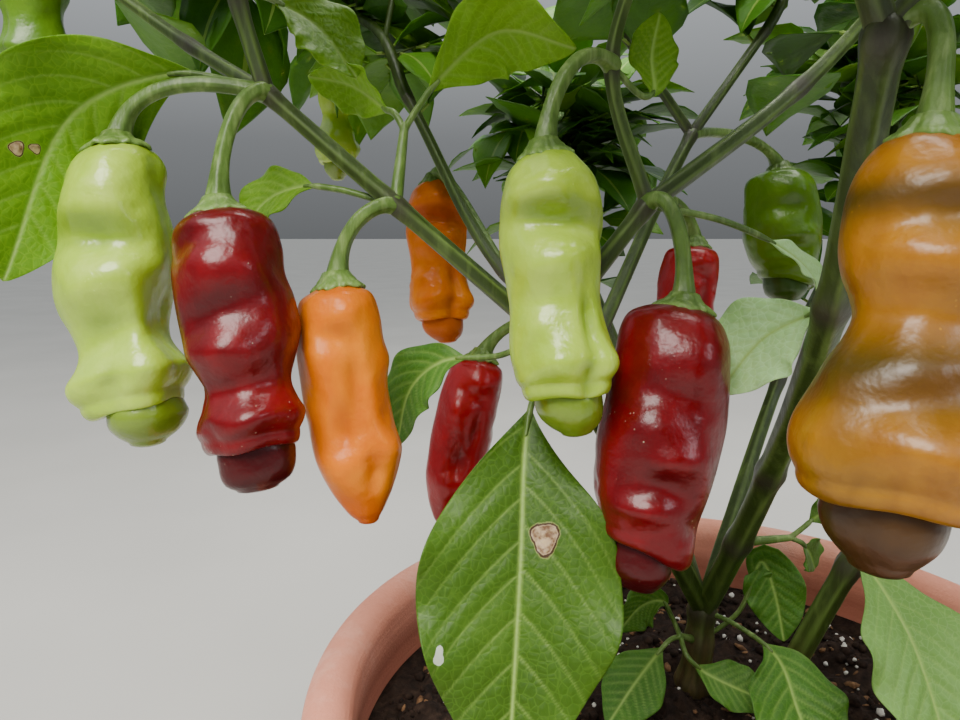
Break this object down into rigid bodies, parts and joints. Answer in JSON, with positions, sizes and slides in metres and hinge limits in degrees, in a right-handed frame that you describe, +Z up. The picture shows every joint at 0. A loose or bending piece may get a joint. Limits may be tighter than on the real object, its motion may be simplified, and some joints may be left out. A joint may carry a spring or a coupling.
{
  "type": "potted chilli pepper plant",
  "caption": "Chilli pepper plant in a round terracotta pot: two green stems fork into a leafy crown, with blocky lobed pods in pale lime, orange and red hanging under it.",
  "frame": {"origin": "centre of the pot's flat underside, on the surface that it stands on", "axes": "+Z up, and -Y towards the open side where the front pods hang, with +X to the right of it"},
  "size_m": [0.6056, 0.5388, 0.7775],
  "materials": {
    "terracotta": "matt fired clay",
    "potting_soil": "loose and matt",
    "stem": "smooth green bark",
    "pod_red": "glossy skin",
    "pod_orange": "glossy skin",
    "pod_pale": "glossy skin",
    "pod_green": "glossy skin",
    "foliage": "smooth leaf"
  },
  "bodies": {
    "root": {"bough_centre": "stem", "bough_centre_side": "stem", "bough_centre_up": "stem", "bough_far_right": "stem", "bough_front": "stem", "bough_left": "stem", "bough_left_out": "stem", "bough_left_up": "stem", "bough_rear": "stem", "bough_rear_inner": "stem", "bough_rear_left": "stem", "bough_rear_low": "stem", "bough_rear_mid": "stem", "bough_rear_right": "stem", "bough_rear_top": "stem", "bough_right": "stem", "bough_right_back": "stem", "bough_right_inner": "stem", "bough_right_outer": "stem", "foliage_centre": "foliage", "foliage_front": "foliage", "foliage_front_right": "foliage", "foliage_front_top": "foliage", "foliage_left": "foliage", "foliage_left_top": "foliage", "foliage_rear_inner": "foliage", "foliage_rear_left": "foliage", "foliage_rear_low": "foliage", "foliage_rear_right": "foliage", "foliage_rear_top": "foliage", "foliage_right": "foliage", "foliage_right_front": "foliage", "leaf_centre": "foliage", "leaf_corner": "foliage", "leaf_foot": "foliage", "leaf_front": "foliage", "leaf_left": "foliage", "leaf_left_top": "foliage", "leaf_left_under": "foliage", "leaf_low": "foliage", "leaf_right": "foliage", "leaf_side": "foliage", "leaf_under_front": "foliage", "main_stem": "stem", "pod_green_rear": "pod_green", "pod_orange_back": "pod_orange", "pod_orange_left": "pod_orange", "pod_orange_right": "pod_orange", "pod_pale_centre": "pod_pale", "pod_pale_left": "pod_pale", "pod_red_back": "pod_red", "pod_red_centre": "pod_red", "pod_red_left": "pod_red", "pod_red_rear": "pod_red", "pot": "terracotta", "second_stem": "stem", "soil": "potting_soil", "sprig_left": "foliage", "sprig_low": "foliage", "sprig_right": "foliage"}
  },
  "joints": []
}
